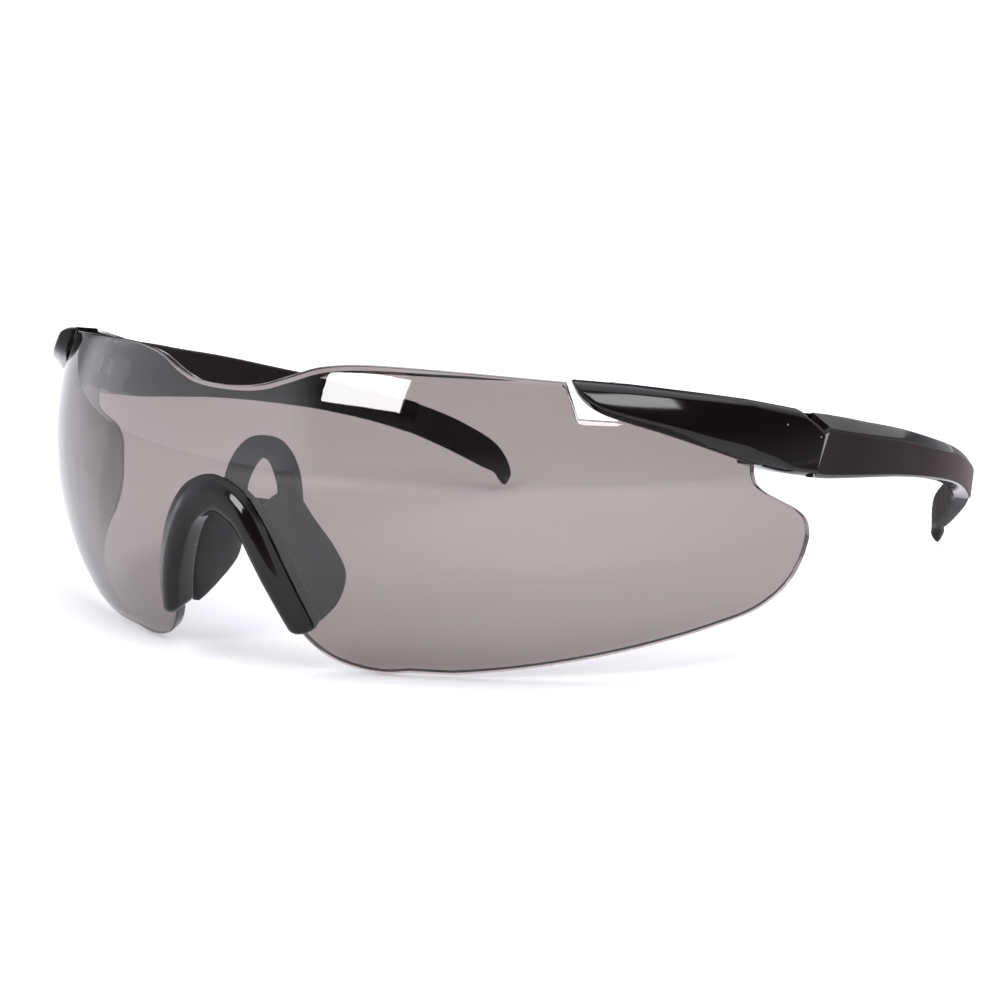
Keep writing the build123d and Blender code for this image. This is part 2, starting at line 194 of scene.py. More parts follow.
# The outline of the wearer's left half, as (distance round the lens, height): the brow, the notch in front
# of the lug, the lug and the rear edge, and then the lower edge from the nose arch to the cheek.
brow = in_wrap(smooth_curve(
    [(-6.5, 10.95), (0, 10.3), (6.5, 10.95), (10.6, 12.3), (15.5, 14.2), (19.5, 14.95), (24, 15.3),
     (36, 15.4), (48.8, 15.2)], 500))
notch = in_wrap(np.array([(48.8, 15.2), (51.2, 9.9), (55.3, 9.9), (58.4, 12.2)]))
lug = in_wrap(np.array([(30.36, 12.2), (44.7, 12.2), (44.75, 3.4)]), True)
rear = in_wrap(smooth_curve(
    [(44.75, 3.4), (45.3, 1.8), (46.9, 0.6), (50.0, -0.7), (53.6, -2.1), (55.8, -3.6), (56.8, -5.6)],
    60), True)
nose_hem = in_wrap(smooth_curve(
    [(-2.5, -8.7), (0, -8.0), (2.5, -8.7), (4.6, -10.9), (6.7, -14.6), (9.0, -19.8), (11.8, -25.6),
     (13.6, -28.3), (15.9, -30.3), (19.2, -31.5), (23.5, -31.9), (27.4, -31.3)], 300))
cheek_hem = in_wrap(smooth_curve(
    [(18.9, -31.3), (23.2, -29.8), (30.0, -27.1), (37.5, -24.0), (44.6, -21.0), (51.4, -17.8),
     (55.3, -13.8), (56.6, -10.0), (56.85, -7.2)], 300), True)
HEM_OVERLAP = 6           # samples left out where the cheek's curve takes over from the nose's curve
hem = np.vstack([nose_hem, cheek_hem[HEM_OVERLAP:]])
brow, hem = brow[brow[:, 0] >= 0], hem[hem[:, 0] >= 0]

# Each stretch of the upper edge is paired with the stretch of the lower edge that the skin's columns run
# down to: the second value is where that one ends round the lens, the third is the number of columns.
DIP_END, CREST_START = 13.9, 21.4
STRETCHES = (
    (brow[brow[:, 0] <= DIP_END], 15.9, 34),
    (brow[(brow[:, 0] >= DIP_END) & (brow[:, 0] <= CREST_START)], 25.0, 14),
    (brow[brow[:, 0] >= CREST_START], 57.0, 44),
    (notch[:2], 59.0, 5),
    (notch[1:3], 63.5, 6),
    (notch[2:], 69.0, 6),
    (lug[:2], 82.5, 14),
    (lug[1:], 87.5, 8),
    (rear, hem[-1, 0], 26),
)
upper, lower, hem_from = [brow[:1]], [hem[:1]], 0.0
for edge, hem_to, steps in STRETCHES:
    below = hem[(hem[:, 0] > hem_from) & (hem[:, 0] < hem_to)]
    ends = [(place, np.interp(place, *hem.T)) for place in (hem_from, hem_to)]
    start = upper[-1][-1:]
    upper.append(even_steps(np.vstack([start, edge[1:]]), steps + 1)[1:])
    lower.append(even_steps(np.vstack([ends[:1], below, ends[1:]]), steps + 1)[1:])
    hem_from = hem_to
upper, lower = np.vstack(upper), np.vstack(lower)
upper = np.vstack([upper[:0:-1] * (-1, 1), upper])
lower = np.vstack([lower[:0:-1] * (-1, 1), lower])

# one closed loop per column: front face, rounded upper rim, back face, rounded lower rim
RIM_R = 0.3
RIM_STEPS = 5
ROWS = 44
span = np.linalg.norm(upper - lower, axis=1)[:, None]
quarter = np.radians(np.linspace(0, 90, RIM_STEPS))
inset = RIM_R * (1 - np.sin(quarter))
depth = RIM_R * (1 - np.cos(quarter))
rim_in = np.concatenate([inset, inset[::-1]])
rim_off = -np.concatenate([depth, LENS_THICK - depth[::-1]])
face = np.linspace(0, 1, ROWS)[1:-1]
front_share = (RIM_R + face * (span - 2 * RIM_R)) / span
rim_share = rim_in[::-1] / span
share = np.hstack([front_share, 1 - rim_in / span, front_share[:, ::-1], rim_share[:, ::-1]])
off = np.concatenate([face * 0, rim_off, face * 0 - LENS_THICK, rim_off[::-1]])
wrap_z = lower[:, None] + share[:, :, None] * (upper - lower)[:, None]
loops = shell(wrap_z[:, :, 0] / LENS_WRAP, wrap_z[:, :, 1], off)
lens = mesh_piece("visor_lens", *closed_loft(loops), sharp_degrees=50)

# Moulded smoked polycarbonate: clear and glossy, a trace wavy from the mould and a trace hazy where it was
# wiped. The tint is taken up through the thickness, so the edges look darker than the faces.
MOULD_WAVE, WIPE_MARK = 22.22, 3.846  # mm
material, tree = new_material("moulded smoked polycarbonate")
place = add_node(tree, "ShaderNodeTexCoord").outputs["Object"]
mould = add_node(tree, "ShaderNodeTexNoise", inputs={
    "Vector": place, "Scale": cells_of(MOULD_WAVE), "Detail": 1.0})
wave = add_node(tree, "ShaderNodeBump", inputs={
    "Height": mould.outputs["Fac"], "Strength": 0.006, "Distance": 0.001})
wipe = add_node(tree, "ShaderNodeTexNoise", inputs={
    "Vector": place, "Scale": cells_of(WIPE_MARK), "Detail": 4.0})
haze = add_node(tree, "ShaderNodeMapRange", inputs={
    "Value": wipe.outputs["Fac"], "From Min": 0.45, "From Max": 0.8, "To Min": 0.0, "To Max": 0.015})
glass = add_node(tree, "ShaderNodeBsdfPrincipled", inputs={
    "Base Color": linear("ffffff"), "Transmission Weight": 1.0, "Roughness": haze.outputs["Result"],
    "Normal": wave.outputs["Normal"], "IOR": 1.586})
clear = add_node(tree, "ShaderNodeBsdfTransparent")
ray = add_node(tree, "ShaderNodeLightPath").outputs["Is Shadow Ray"]
body = add_node(tree, "ShaderNodeMixShader", inputs={0: ray, 1: glass.outputs[0], 2: clear.outputs[0]})
smoke = add_node(tree, "ShaderNodeVolumeAbsorption", inputs={
    "Color": (0.250, 0.155, 0.128, 1.0), "Density": 800.0})
add_node(tree, "ShaderNodeOutputMaterial", inputs={"Surface": body.outputs[0], "Volume": smoke.outputs[0]})
lens.data.materials.append(material)
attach(lens, "front")
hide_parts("lens")

# ---------------------------------------------------------------- end pieces
# Gloss black injection-moulded nylon plates that carry the hinges. Each one lies on the lens's outer face,
# holds the lug of the lens against a plate behind it and ends in two hinge ears. Its lower edge is bevelled.
END_PROUD = 2.6           # how far the outer face stands in front of the lens
END_BACK = -3.4           # inner face of the wall above and behind the lens's lug
LUG_SPAN = (25.7, 44.9)   # y where the lug starts and where the lens ends
LUG_TOP = 12.35           # underside of the wall above the lug
# y and z of the two ends of the seam between end piece and temple
SEAM_LOW, SEAM_HIGH = (53.3, 3.2), (56.2, 10.92)
SEAM_LEAN = (SEAM_HIGH[0] - SEAM_LOW[0]) / (SEAM_HIGH[1] - SEAM_LOW[1])
HINGE_X, HINGE_Y, EYE_R = 69.9, 58.7, 2.3             # the hinge's axis and the radius of its eyes
EAR_LEVELS = ((3.28, 5.48), (8.72, 10.92))
EAR_REACH = 4.4           # from the hinge's axis forward into the end piece


def round_corners(corners, radii, steps=5):
    """Closed outlines whose corners are eased: each corner becomes a quadratic curve that leaves its two
    sides at `radii` from the corner. `corners` is stations by corners by 2, `radii` stations by corners."""
    to_last = np.roll(corners, 1, axis=1) - corners
    to_next = np.roll(corners, -1, axis=1) - corners
    last_side = np.linalg.norm(to_last, axis=2, keepdims=True) + 1e-9
    next_side = np.linalg.norm(to_next, axis=2, keepdims=True) + 1e-9
    reach = np.minimum(np.asarray(radii, float)[..., None] * np.ones_like(last_side),
                       0.48 * np.minimum(last_side, next_side))
    t = np.linspace(0, 1, steps)[:, None]
    first = (corners + to_last / last_side * reach)[:, :, None, :]
    last = (corners + to_next / next_side * reach)[:, :, None, :]
    eased = (1 - t) ** 2 * first + 2 * t * (1 - t) * corners[:, :, None, :] + t**2 * last
    return eased.reshape(len(corners), -1, 2)


def mirrored(part):
    """The same points and faces on the wearer's right."""
    points, faces = part
    return points * (-1, 1, 1), [face[::-1] for face in faces]


def joined(parts):
    """Points and faces of several closed skins as one set."""
    offsets = np.concatenate([[0], np.cumsum([len(points) for points, _ in parts])])
    faces = [[i + int(offset) for i in face]
             for (_, part), offset in zip(parts, offsets) for face in part]
    return np.concatenate([points for points, _ in parts]), faces


def upright_plate(outline, low, high, ease=0.25):
    """Closed plate with this outline seen from above, between two heights, its rims eased by shrinking the
    first and last loop towards the middle."""
    outline = np.asarray(outline, float)
    middle = outline.mean(axis=0)
    levels = ((low, ease), (low + ease, 0.0), (high - ease, 0.0), (high, ease))
    loops = [np.column_stack([middle + (outline - middle) * (1 - shrink / EYE_R), np.full(len(outline), z)])
             for z, shrink in levels]
    return closed_loft(np.array(loops))


def knuckle(toward, reach):
    """Outline of a hinge knuckle: a half circle round the hinge's axis with straight sides that run `reach`
    in the direction `toward` (+1 to the back, -1 to the front)."""
    angle = np.linspace(0, math.pi, 25) * -toward
    arc = np.column_stack([HINGE_X + EYE_R * np.cos(angle), HINGE_Y + EYE_R * np.sin(angle)])
    root = HINGE_Y + toward * reach
    return np.vstack([arc, [(HINGE_X - EYE_R, root), (HINGE_X + EYE_R, root)]])


def wall(y, z, off):
    """Point at (y, z), on the wearer's left, of the shell that lies `off` in front of the lens's face."""
    reach = LENS_WRAP - LENS_CROWN + np.sqrt((LENS_CROWN + off) ** 2 - z**2)
    return np.stack([np.sqrt(reach**2 - (LENS_WRAP - y) ** 2), y, z], axis=-1)


TOP_WALL = 0.6            # thickness of the wall above the lug
SEAT_GAP = 0.05           # between the end piece and the lens
BEVEL_FOOT, ROLL_HEAD = 0.9, 1.5      # how far in front of the lens the lower bevel and upper rounding start
end_y = np.concatenate([
    [20.8, 20.9, 21.1], np.linspace(21.4, 25.6, 14), [LUG_SPAN[0]], np.linspace(26.0, 44.8, 34),
    [LUG_SPAN[1]], np.linspace(45.3, SEAM_HIGH[0], 26)])
end_top = np.interp(
    end_y, [18.0, 27.4, 36.3, 43.1, 52.0, 56.2], [15.65, 15.5, 14.95, 14.45, 13.4, SEAM_HIGH[1]])
end_low_curve = smooth_curve(
    [(20.8, 15.0), (20.95, 14.0), (21.3, 12.9), (22.1, 11.7), (23.3, 10.8), (25.4, 9.95), (30.9, 8.4),
     (38.4, 6.2), (43.6, 4.75), (47.2, 4.05), (51.5, 3.45), (56.2, 3.15)], 160)
end_low = np.interp(end_y, *end_low_curve.T)
tall = end_top - end_low
bevel = np.interp(end_y, [20.5, 24.9, 36.0, 41.0, 46.0, 50.0, 56.2], [0.5, 0.9, 1.2, 1.7, 1.3, 0.7, 0.6])
bevel = np.minimum(bevel, 0.45 * tall)
roll = np.minimum(0.9, 0.4 * tall)
tip_scale = np.interp(end_y, [20.8, 20.9, 21.1], [0.3, 0.75, 1.0])
in_front = end_y <= LUG_SPAN[0]
behind = end_y >= LUG_SPAN[1]
under_top = np.minimum(LUG_TOP, end_top - TOP_WALL)
foot = np.where(in_front, end_top - TOP_WALL, np.where(behind, end_low + 0.02, under_top))
back_off = np.where(in_front, SEAT_GAP, END_BACK)
seat_off = np.where(behind, END_BACK + 0.02, SEAT_GAP)
one = np.ones_like(end_y)
corners = np.stack([
    np.column_stack([seat_off, end_low]),
    np.column_stack([one * BEVEL_FOOT, end_low]),
    np.column_stack([one * END_PROUD, end_low + bevel]),
    np.column_stack([one * END_PROUD, end_top - roll]),
    np.column_stack([one * ROLL_HEAD, end_top]),
    np.column_stack([back_off, end_top]),
    np.column_stack([back_off, foot]),
    np.column_stack([seat_off, foot]),
], axis=1)
ease = np.array([0.1, 0.7, 0.45, 0.6, 0.7, 0.5, 0.1, 0.05])
section = round_corners(corners, np.broadcast_to(ease, corners.shape[:2]))
middle = section.mean(axis=1, keepdims=True)
section = middle + (section - middle) * tip_scale[:, None, None]
to_seam = np.interp(end_y, [LUG_SPAN[1], SEAM_HIGH[0]], [0, 1])[:, None]
lean = to_seam * SEAM_LEAN * (SEAM_HIGH[1] - section[:, :, 1])
station_y = end_y[:, None] - np.where(section[:, :, 1] < SEAM_HIGH[1], lean, 0)
square_on = np.interp(end_y, [26.0, 38.0], [1, 0])[:, None]
inward = np.cos(turn_at_y(station_y, section[:, :, 1]))
station_y = station_y - square_on * (section[:, :, 0] - 1) * inward
loops = wall(station_y, section[:, :, 1], section[:, :, 0])
ears = [upright_plate(knuckle(-1, EAR_REACH), *levels) for levels in EAR_LEVELS]
left_end = joined([closed_loft(loops), *ears])

# Gloss moulded black nylon: deep black with sharp reflections that a faint ripple bends, a sheen that is a
# little uneven where the plastic flowed, and a few pale specks of dust. The specks come out near 0.3 mm
# across, coarser than most dust, so that they show.
FLOW_MARK, DUST_APART, RIPPLE = 2.381, 4.348, 6.25    # mm
material, tree = new_material("gloss moulded black nylon")
place = add_node(tree, "ShaderNodeTexCoord").outputs["Object"]
flow = add_node(tree, "ShaderNodeTexNoise", inputs={
    "Vector": place, "Scale": cells_of(FLOW_MARK), "Detail": 3.0})
wiped = add_node(tree, "ShaderNodeMapRange", inputs={
    "Value": flow.outputs["Fac"], "To Min": 0.05, "To Max": 0.11})
dust = add_node(tree, "ShaderNodeTexVoronoi", inputs={"Vector": place, "Scale": cells_of(DUST_APART)})
speck = add_node(tree, "ShaderNodeMapRange", inputs={
    "Value": dust.outputs["Distance"], "From Min": 0.028, "From Max": 0.04, "To Min": 1.0, "To Max": 0.0})
shade = add_node(tree, "ShaderNodeMix", {"data_type": "RGBA"}, {
    "Factor": speck.outputs["Result"], "A": linear("0d0808"), "B": linear("8d8686")})
ripple = add_node(tree, "ShaderNodeTexNoise", inputs={
    "Vector": place, "Scale": cells_of(RIPPLE), "Detail": 1.0})
dent = add_node(tree, "ShaderNodeBump", inputs={
    "Height": ripple.outputs["Fac"], "Strength": 0.03, "Distance": 0.0005})
plastic = add_node(tree, "ShaderNodeBsdfPrincipled", inputs={
    "Base Color": shade.outputs["Result"], "Roughness": wiped.outputs["Result"],
    "Normal": dent.outputs["Normal"], "IOR": 1.53, "Specular IOR Level": 0.27})
finish_surface(tree, plastic.outputs[0])
gloss_nylon = material

for side, shape in (("left", left_end), ("right", mirrored(left_end))):
    end_piece = mesh_piece(f"{side}_end_piece", *shape, sharp_degrees=38)
    end_piece.data.materials.append(gloss_nylon)
    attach(end_piece, "front")
    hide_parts(f"{side}_endpiece")

# ---------------------------------------------------------------- clamp plates and screws
# Moulded nylon plates that hold the lugs of the lens from behind, and the turned stainless steel screws of
# the clamps and the hinges. All four nodes are shown as the frame has them.

# Satin moulded black nylon: an even soft sheen. The grain of such a moulding is near 0.05 mm and is drawn
# coarser, to show.
MOULD_GRAIN = 0.4         # mm
material, tree = new_material("satin moulded black nylon")
place = add_node(tree, "ShaderNodeTexCoord").outputs["Object"]
grain = add_node(tree, "ShaderNodeTexNoise", inputs={
    "Vector": place, "Scale": cells_of(MOULD_GRAIN), "Detail": 2.0})
relief = add_node(tree, "ShaderNodeBump", inputs={
    "Height": grain.outputs["Fac"], "Strength": 0.2, "Distance": 0.0001})
uneven = add_node(tree, "ShaderNodeMapRange", inputs={
    "Value": grain.outputs["Fac"], "To Min": 0.35, "To Max": 0.5})
satin = add_node(tree, "ShaderNodeBsdfPrincipled", inputs={
    "Base Color": linear("171515"), "Roughness": uneven.outputs["Result"],
    "Normal": relief.outputs["Normal"], "IOR": 1.53})
finish_surface(tree, satin.outputs[0])
satin_nylon = material

# Turned stainless steel: bright, with a roughness that changes from one tool mark to the next.
TOOL_MARK = 0.1667        # mm
material, tree = new_material("turned stainless steel")
place = add_node(tree, "ShaderNodeTexCoord").outputs["Object"]
lathe = add_node(tree, "ShaderNodeTexNoise", inputs={
    "Vector": place, "Scale": cells_of(TOOL_MARK), "Detail": 2.0})
lines = add_node(tree, "ShaderNodeMapRange", inputs={
    "Value": lathe.outputs["Fac"], "To Min": 0.22, "To Max": 0.42})
steel = add_node(tree, "ShaderNodeBsdfPrincipled", inputs={
    "Base Color": linear("b9b6b1"), "Metallic": 1.0, "Roughness": lines.outputs["Result"]})
finish_surface(tree, steel.outputs[0])
turned_steel = material

for node, made_of in (("left_lens_clamp", satin_nylon), ("right_lens_clamp", satin_nylon),
                      ("clamp_screws", turned_steel), ("hinge_screws", turned_steel)):
    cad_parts[node].data.materials.clear()
    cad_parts[node].data.materials.append(made_of)

# ---------------------------------------------------------------- temples
# Gloss black nylon arms with a broad bevel along the upper outer edge. The front end leans back with the
# seam, is hollow inside for the hinge ears and carries the middle knuckle; the rear end is a V over rubber.

# middle x, y, z, height, thickness and bevel height of the arm, from the hinge to the end of the rubber tip
ROUTE = (
    (71.4, 56.45, 8.0, 9.9, 6.3, 2.4),
    (71.4, 60.0, 7.75, 9.9, 6.2, 2.4),
    (72.0, 70.0, 7.25, 8.95, 5.4, 2.2),
    (71.9, 84.0, 6.6, 7.85, 4.7, 2.0),
    (70.7, 100.0, 5.25, 6.75, 4.1, 1.8),
    (67.9, 114.0, 3.7, 6.2, 3.8, 1.6),
    (63.9, 127.0, 1.5, 6.1, 3.6, 1.4),
    (60.6, 135.0, -0.4, 6.5, 3.5, 1.0),
    (56.1, 141.8, -3.2, 6.7, 3.6, 0.8),
    (51.2, 147.5, -6.8, 6.0, 3.7, 0.7),
    (49.2, 150.4, -9.8, 3.7, 2.7, 0.5),
    (48.9, 151.5, -13.0, 2.8, 2.3, 0.5),
)
ROUTE_STEPS = 150
POCKET_X, POCKET_REAR = 72.5, 61.3    # inner face of the thin outer wall beside the hinge, and where it ends
SEAM_FADE_Y = 66.0        # where the sections stand square to the arm again
TOP_LEAN = 1.55           # how far the arm reaches forward, above the seam's bend, for each mm up
ARM_END_Y = 134.0
TONGUE, TONGUE_BACK, TONGUE_RUN = 3.4, 0.6, 5.0      # the V at the end of the arm


def arm_frames(route):
    """Along, outward and up directions at each station of the route: along is the route's slope, outward
    is level, and up is square to both."""
    along = np.gradient(route[:, :3], axis=0)
    along /= np.linalg.norm(along, axis=1, keepdims=True)
    outward = np.cross(along, (0, 0, 1))
    outward /= np.linalg.norm(outward, axis=1, keepdims=True)
    return along, outward, np.cross(outward, along)


def arm_section(high, thick, bevel, inner=None):
    """Five-cornered section, outer side to the right: flat outer face, bevel above it, top, inner face
    and underside. `inner` moves the inner face to that distance from the middle."""
    inner = -thick / 2 if inner is None else inner
    return np.stack([
        np.column_stack([thick / 2 - 0.15, -high / 2]),
        np.column_stack([thick / 2, high / 2 - bevel]),
        np.column_stack([thick / 2 - 0.75 * bevel, high / 2]),
        np.column_stack([inner, high / 2]),
        np.column_stack([inner, -high / 2])], axis=1)


def placed(section, middle, outward, up):
    """Section points (across, up) set at each station's middle along its outward and up directions."""
    return (middle[:, None] + section[:, :, :1] * outward[:, None] + section[:, :, 1:] * up[:, None])


route = smooth_curve(ROUTE, ROUTE_STEPS)
along, outward, up = arm_frames(route)
arm = route[:, 1] <= ARM_END_Y
high, thick, slope = route[arm, 3], route[arm, 4], route[arm, 5]
pocket = route[arm, 1] < POCKET_REAR
inner = np.where(pocket, POCKET_X - route[arm, 0], -thick / 2)
section = round_corners(arm_section(high, thick, slope, inner), np.array([0.8, 0.5, 0.5, 0.5, 0.6]))
loops = placed(section, route[arm, :3], outward[arm], up[arm])
above_bend = loops[:, :, 2] - SEAM_HIGH[1]
seam_y = np.where(above_bend < 0, SEAM_LEAN * above_bend, -TOP_LEAN * above_bend)
loops[:, :, 1] += np.interp(route[arm, 1], [ROUTE[0][1], SEAM_FADE_Y], [1, 0])[:, None] * seam_y
tongue = np.interp(route[arm, 1], [ARM_END_Y - TONGUE_RUN, ARM_END_Y], [0, 1])[:, None, None]
from_middle = np.clip(abs(section[:, :, 1:]) / (0.5 * high[:, None, None]), 0, 1)
loops += tongue * (TONGUE * (1 - from_middle) - TONGUE_BACK) * along[arm][:, None]

# the roof of the hinge's pocket, whose front follows the seam, and the middle knuckle
ROOF_Z = np.array([11.12, 11.4, 12.0, 12.5, 12.75])
ROOF_FRONT, ROOF_REAR, ROOF_REAR_TOP = 56.6, 62.0, 12.4
ROOF_INNER, ROOF_OUTER = 70.0, 72.65
KNUCKLE_REACH, EYE_LOW, EYE_HIGH = 4.2, 5.6, 8.6
roof_front = ROOF_FRONT - TOP_LEAN * (ROOF_Z - ROOF_Z[0])
roof_rear = np.full(len(ROOF_Z), ROOF_REAR)
rear_z = np.minimum(ROOF_Z, ROOF_REAR_TOP)
roof_loops = np.stack([
    np.column_stack([np.full(len(ROOF_Z), x), y, z])
    for x, y, z in ((ROOF_INNER, roof_front, ROOF_Z), (ROOF_OUTER, roof_front, ROOF_Z),
                    (ROOF_OUTER, roof_rear, rear_z), (ROOF_INNER, roof_rear, rear_z))], axis=1)
knuckle_plate = upright_plate(knuckle(1, KNUCKLE_REACH), EYE_LOW, EYE_HIGH)
left_arm = joined([closed_loft(loops), closed_loft(roof_loops), knuckle_plate])
for side, shape in (("left", left_arm), ("right", mirrored(left_arm))):
    temple = mesh_piece(f"{side}_temple_arm", *shape, sharp_degrees=38)
    temple.data.materials.append(gloss_nylon)
    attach(temple, f"{side}_temple")
    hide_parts(f"{side}_temple")

# ---------------------------------------------------------------- rubber temple tips
# Matte black thermoplastic rubber moulded over the end of each arm, a little swollen in the middle, with
# grip ribs across the inner face and a rounded end.
RIB_PITCH, RIB_DEEP = 1.15, 0.28
RIBS_FROM, RIBS_SHORT = 5.5, 4.5      # how far from the front and rear end of the tip the ribs stay away
RIB_FADE = 1.5
UNDER_ARM = 2.5           # how far the rubber reaches under the end of the arm
TIP_STEPS = 110
LESS = 0.3                # how much smaller than the arm the rubber is
tip = route[:, 1] >= ARM_END_Y - UNDER_ARM
tip_route = smooth_curve(route[tip], TIP_STEPS)
along, outward, up = arm_frames(tip_route)
travel = np.concatenate([[0], np.cumsum(np.linalg.norm(np.diff(tip_route[:, :3], axis=0), axis=1))])
swell = 1 + 0.06 * np.sin(np.clip((travel - 6) / 9, 0, 1) * math.pi)
corners = arm_section(tip_route[:, 3] - LESS, (tip_route[:, 4] - LESS) * swell, tip_route[:, 5])
section = round_corners(corners, np.array([1.3, 1.0, 1.0, 1.1, 1.2]), steps=7)
to_end = travel[-1] - travel
ribbed = np.clip((travel - RIBS_FROM) / RIB_FADE, 0, 1) * np.clip((to_end - RIBS_SHORT) / RIB_FADE, 0, 1)
wave = 0.5 + 0.5 * np.cos(2 * math.pi * travel / RIB_PITCH)
on_inner = np.clip(-section[:, :, 0] / (0.5 * tip_route[:, 4:5]), 0, 1) ** 2
section[:, :, 0] += on_inner * (ribbed * RIB_DEEP * wave)[:, None]
close = np.sqrt(np.clip((to_end + 0.02) / 1.9, 0, 1))
start = np.sqrt(np.clip((travel + 0.3) / 0.6, 0, 1))
section *= (close * start)[:, None, None]
left_rubber = closed_loft(placed(section, tip_route[:, :3], outward, up))

# Matte moulded thermoplastic rubber: near black with a dull fine skin, a little lighter in clouds where it
# was handled. The grain of such a skin is near 0.1 mm and is drawn coarser, to show.
SKIN_GRAIN, HANDLED = 0.625, 7.143    # mm
material, tree = new_material("matte moulded thermoplastic rubber")
place = add_node(tree, "ShaderNodeTexCoord").outputs["Object"]
skin = add_node(tree, "ShaderNodeTexNoise", inputs={
    "Vector": place, "Scale": cells_of(SKIN_GRAIN), "Detail": 3.0})
cloud = add_node(tree, "ShaderNodeTexNoise", inputs={
    "Vector": place, "Scale": cells_of(HANDLED), "Detail": 2.0})
tone = add_node(tree, "ShaderNodeMix", {"data_type": "RGBA"}, {
    "Factor": cloud.outputs["Fac"], "A": linear("130d0e"), "B": linear("1e1718")})
matt = add_node(tree, "ShaderNodeMapRange", inputs={
    "Value": cloud.outputs["Fac"], "To Min": 0.42, "To Max": 0.6})
relief = add_node(tree, "ShaderNodeBump", inputs={
    "Height": skin.outputs["Fac"], "Strength": 0.35, "Distance": 0.0001})
rubber = add_node(tree, "ShaderNodeBsdfPrincipled", inputs={
    "Base Color": tone.outputs["Result"], "Roughness": matt.outputs["Result"],
    "Normal": relief.outputs["Normal"], "IOR": 1.5, "Specular IOR Level": 0.22})
finish_surface(tree, rubber.outputs[0])
matte_rubber = material

for side, shape in (("left", left_rubber), ("right", mirrored(left_rubber))):
    rubber_tip = mesh_piece(f"{side}_rubber_tip", *shape, sharp_degrees=60)
    rubber_tip.data.materials.append(matte_rubber)
    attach(rubber_tip, f"{side}_temple")
    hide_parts(f"{side}_temple_tip")

# ---------------------------------------------------------------- nose bridge
# Gloss black nylon channel clipped over the edge of the lens's nose arch, with a rounded bar in front of the
# lens, a thin lip beside it and a flat flange behind.
BAR_STATIONS = 121
bar_outer = smooth_curve(
    [(-15.5, -25.9), (-13.2, -18.4), (-9.5, -9.9), (-5.4, -5.0), (0, -3.1), (5.4, -5.0), (9.5, -9.9),
     (13.2, -18.4), (15.5, -25.9)], BAR_STATIONS)
bar_inner = smooth_curve(
    [(-11.4, -26.5), (-8.6, -19.7), (-4.4, -11.7), (-1.8, -9.7), (0, -9.2), (1.8, -9.7), (4.4, -11.7),
     (8.6, -19.7), (11.4, -26.5)], BAR_STATIONS)

# corners of the channel's section, from the inner rear one round the bar in front, along the slot for the
# lens and round the flange behind it, as (share of the way from the inner to the outer outline, distance in
# front of the lens)
CHANNEL = (
    (0.0, -3.0), (0.0, 0.8), (0.18, 1.9), (0.52, 1.9), (0.76, 0.65), (0.95, 0.3), (0.95, 0.05), (0.3, 0.05),
    (0.3, -2.05), (1.04, -2.05), (1.04, -3.2))
CHANNEL_EASE = (0.3, 1.1, 1.5, 1.5, 0.3, 0.2, 0.05, 0.05, 0.05, 0.1, 0.3)
FLANGE = slice(8, None)   # the corners behind the lens
LIP = 0.4                 # corners further out than this are lowered over the nose, but not below it
wide = np.linalg.norm(bar_outer - bar_inner, axis=1)
channel = np.broadcast_to(np.array(CHANNEL), (BAR_STATIONS, len(CHANNEL), 2)).copy()
channel[:, :, 0] *= wide[:, None]
from_nose = abs(bar_outer[:, 0])
crown = np.interp(from_nose, [0, 5, 12], [0.5, 0.6, 1.0])[:, None]
proud = channel[:, :, 1]
channel[:, :, 1] = np.where(proud > LIP, np.maximum(proud * crown, LIP), proud)
channel[:, FLANGE, 0] *= np.interp(from_nose, [0, 6, 11], [0.8, 0.86, 1.0])[:, None]
section = round_corners(channel, np.broadcast_to(CHANNEL_EASE, channel.shape[:2]))
station = np.arange(BAR_STATIONS)
to_end = np.minimum(station, station[::-1])
blunt = np.interp(to_end, [0, 1, 2, 3], [0.55, 0.85, 0.96, 1.0])[:, None]
middle = section.mean(axis=1, keepdims=True)
section = middle + (section - middle) * blunt[:, :, None]
share = section[:, :, 0] / wide[:, None]
xz = bar_inner[:, None] + share[:, :, None] * (bar_outer - bar_inner)[:, None]
loops = shell(turn_at_x(xz[:, :, 0], xz[:, :, 1]), xz[:, :, 1], section[:, :, 1])
bridge = mesh_piece("nose_bridge_bar", *closed_loft(loops), sharp_degrees=45)
bridge.data.materials.append(gloss_nylon)
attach(bridge, "front")
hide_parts("nose_bridge")

# ---------------------------------------------------------------- nose pad
# Soft black rubber saddle snapped behind the bridge: two thin wings that flare back and out along the nose,
# and a flat loop above them that springs when the pad spreads, with a round bar across it.
PAD_THICK = 1.5
WING_TOP, WING_FOOT, WING_FADE = -5.85, -25.0, 0.9    # the wing thins out over this height at its two ends
# height, x and y of the front edge, x and y of the rear edge of a wing
WING = smooth_curve([
    (-6.0, 6.2, 9.6, 7.4, 13.4), (-8.0, 6.4, 6.2, 8.0, 15.0), (-10.0, 6.8, 4.9, 8.4, 16.9),
    (-14.0, 8.4, 5.3, 10.2, 19.8), (-18.0, 9.9, 6.6, 11.9, 21.0), (-22.0, 11.6, 9.1, 13.0, 17.9),
    (-24.2, 12.5, 10.9, 13.0, 14.4), (-24.9, 12.7, 12.0, 12.9, 13.2)], 50)
step = np.linspace(0, 1, 26)
ride_out = 0.9 * np.sin(step * math.pi)
front_xy, rear_xy = WING[:, None, 1:3], WING[:, None, 3:5]
mid_xy = front_xy + (rear_xy - front_xy) * step[None, :, None] + ride_out[None, :, None] * (-0.45, 0)
half_thick = 0.5 * PAD_THICK * np.sqrt(np.clip(1 - (2 * step - 1) ** 8, 0.0, 1))[None, :]
from_end = np.minimum(WING[:, 0] - WING_FOOT, WING_TOP - WING[:, 0])
edge_fade = np.sqrt(np.clip(from_end / WING_FADE, 0.02, 1))[:, None]
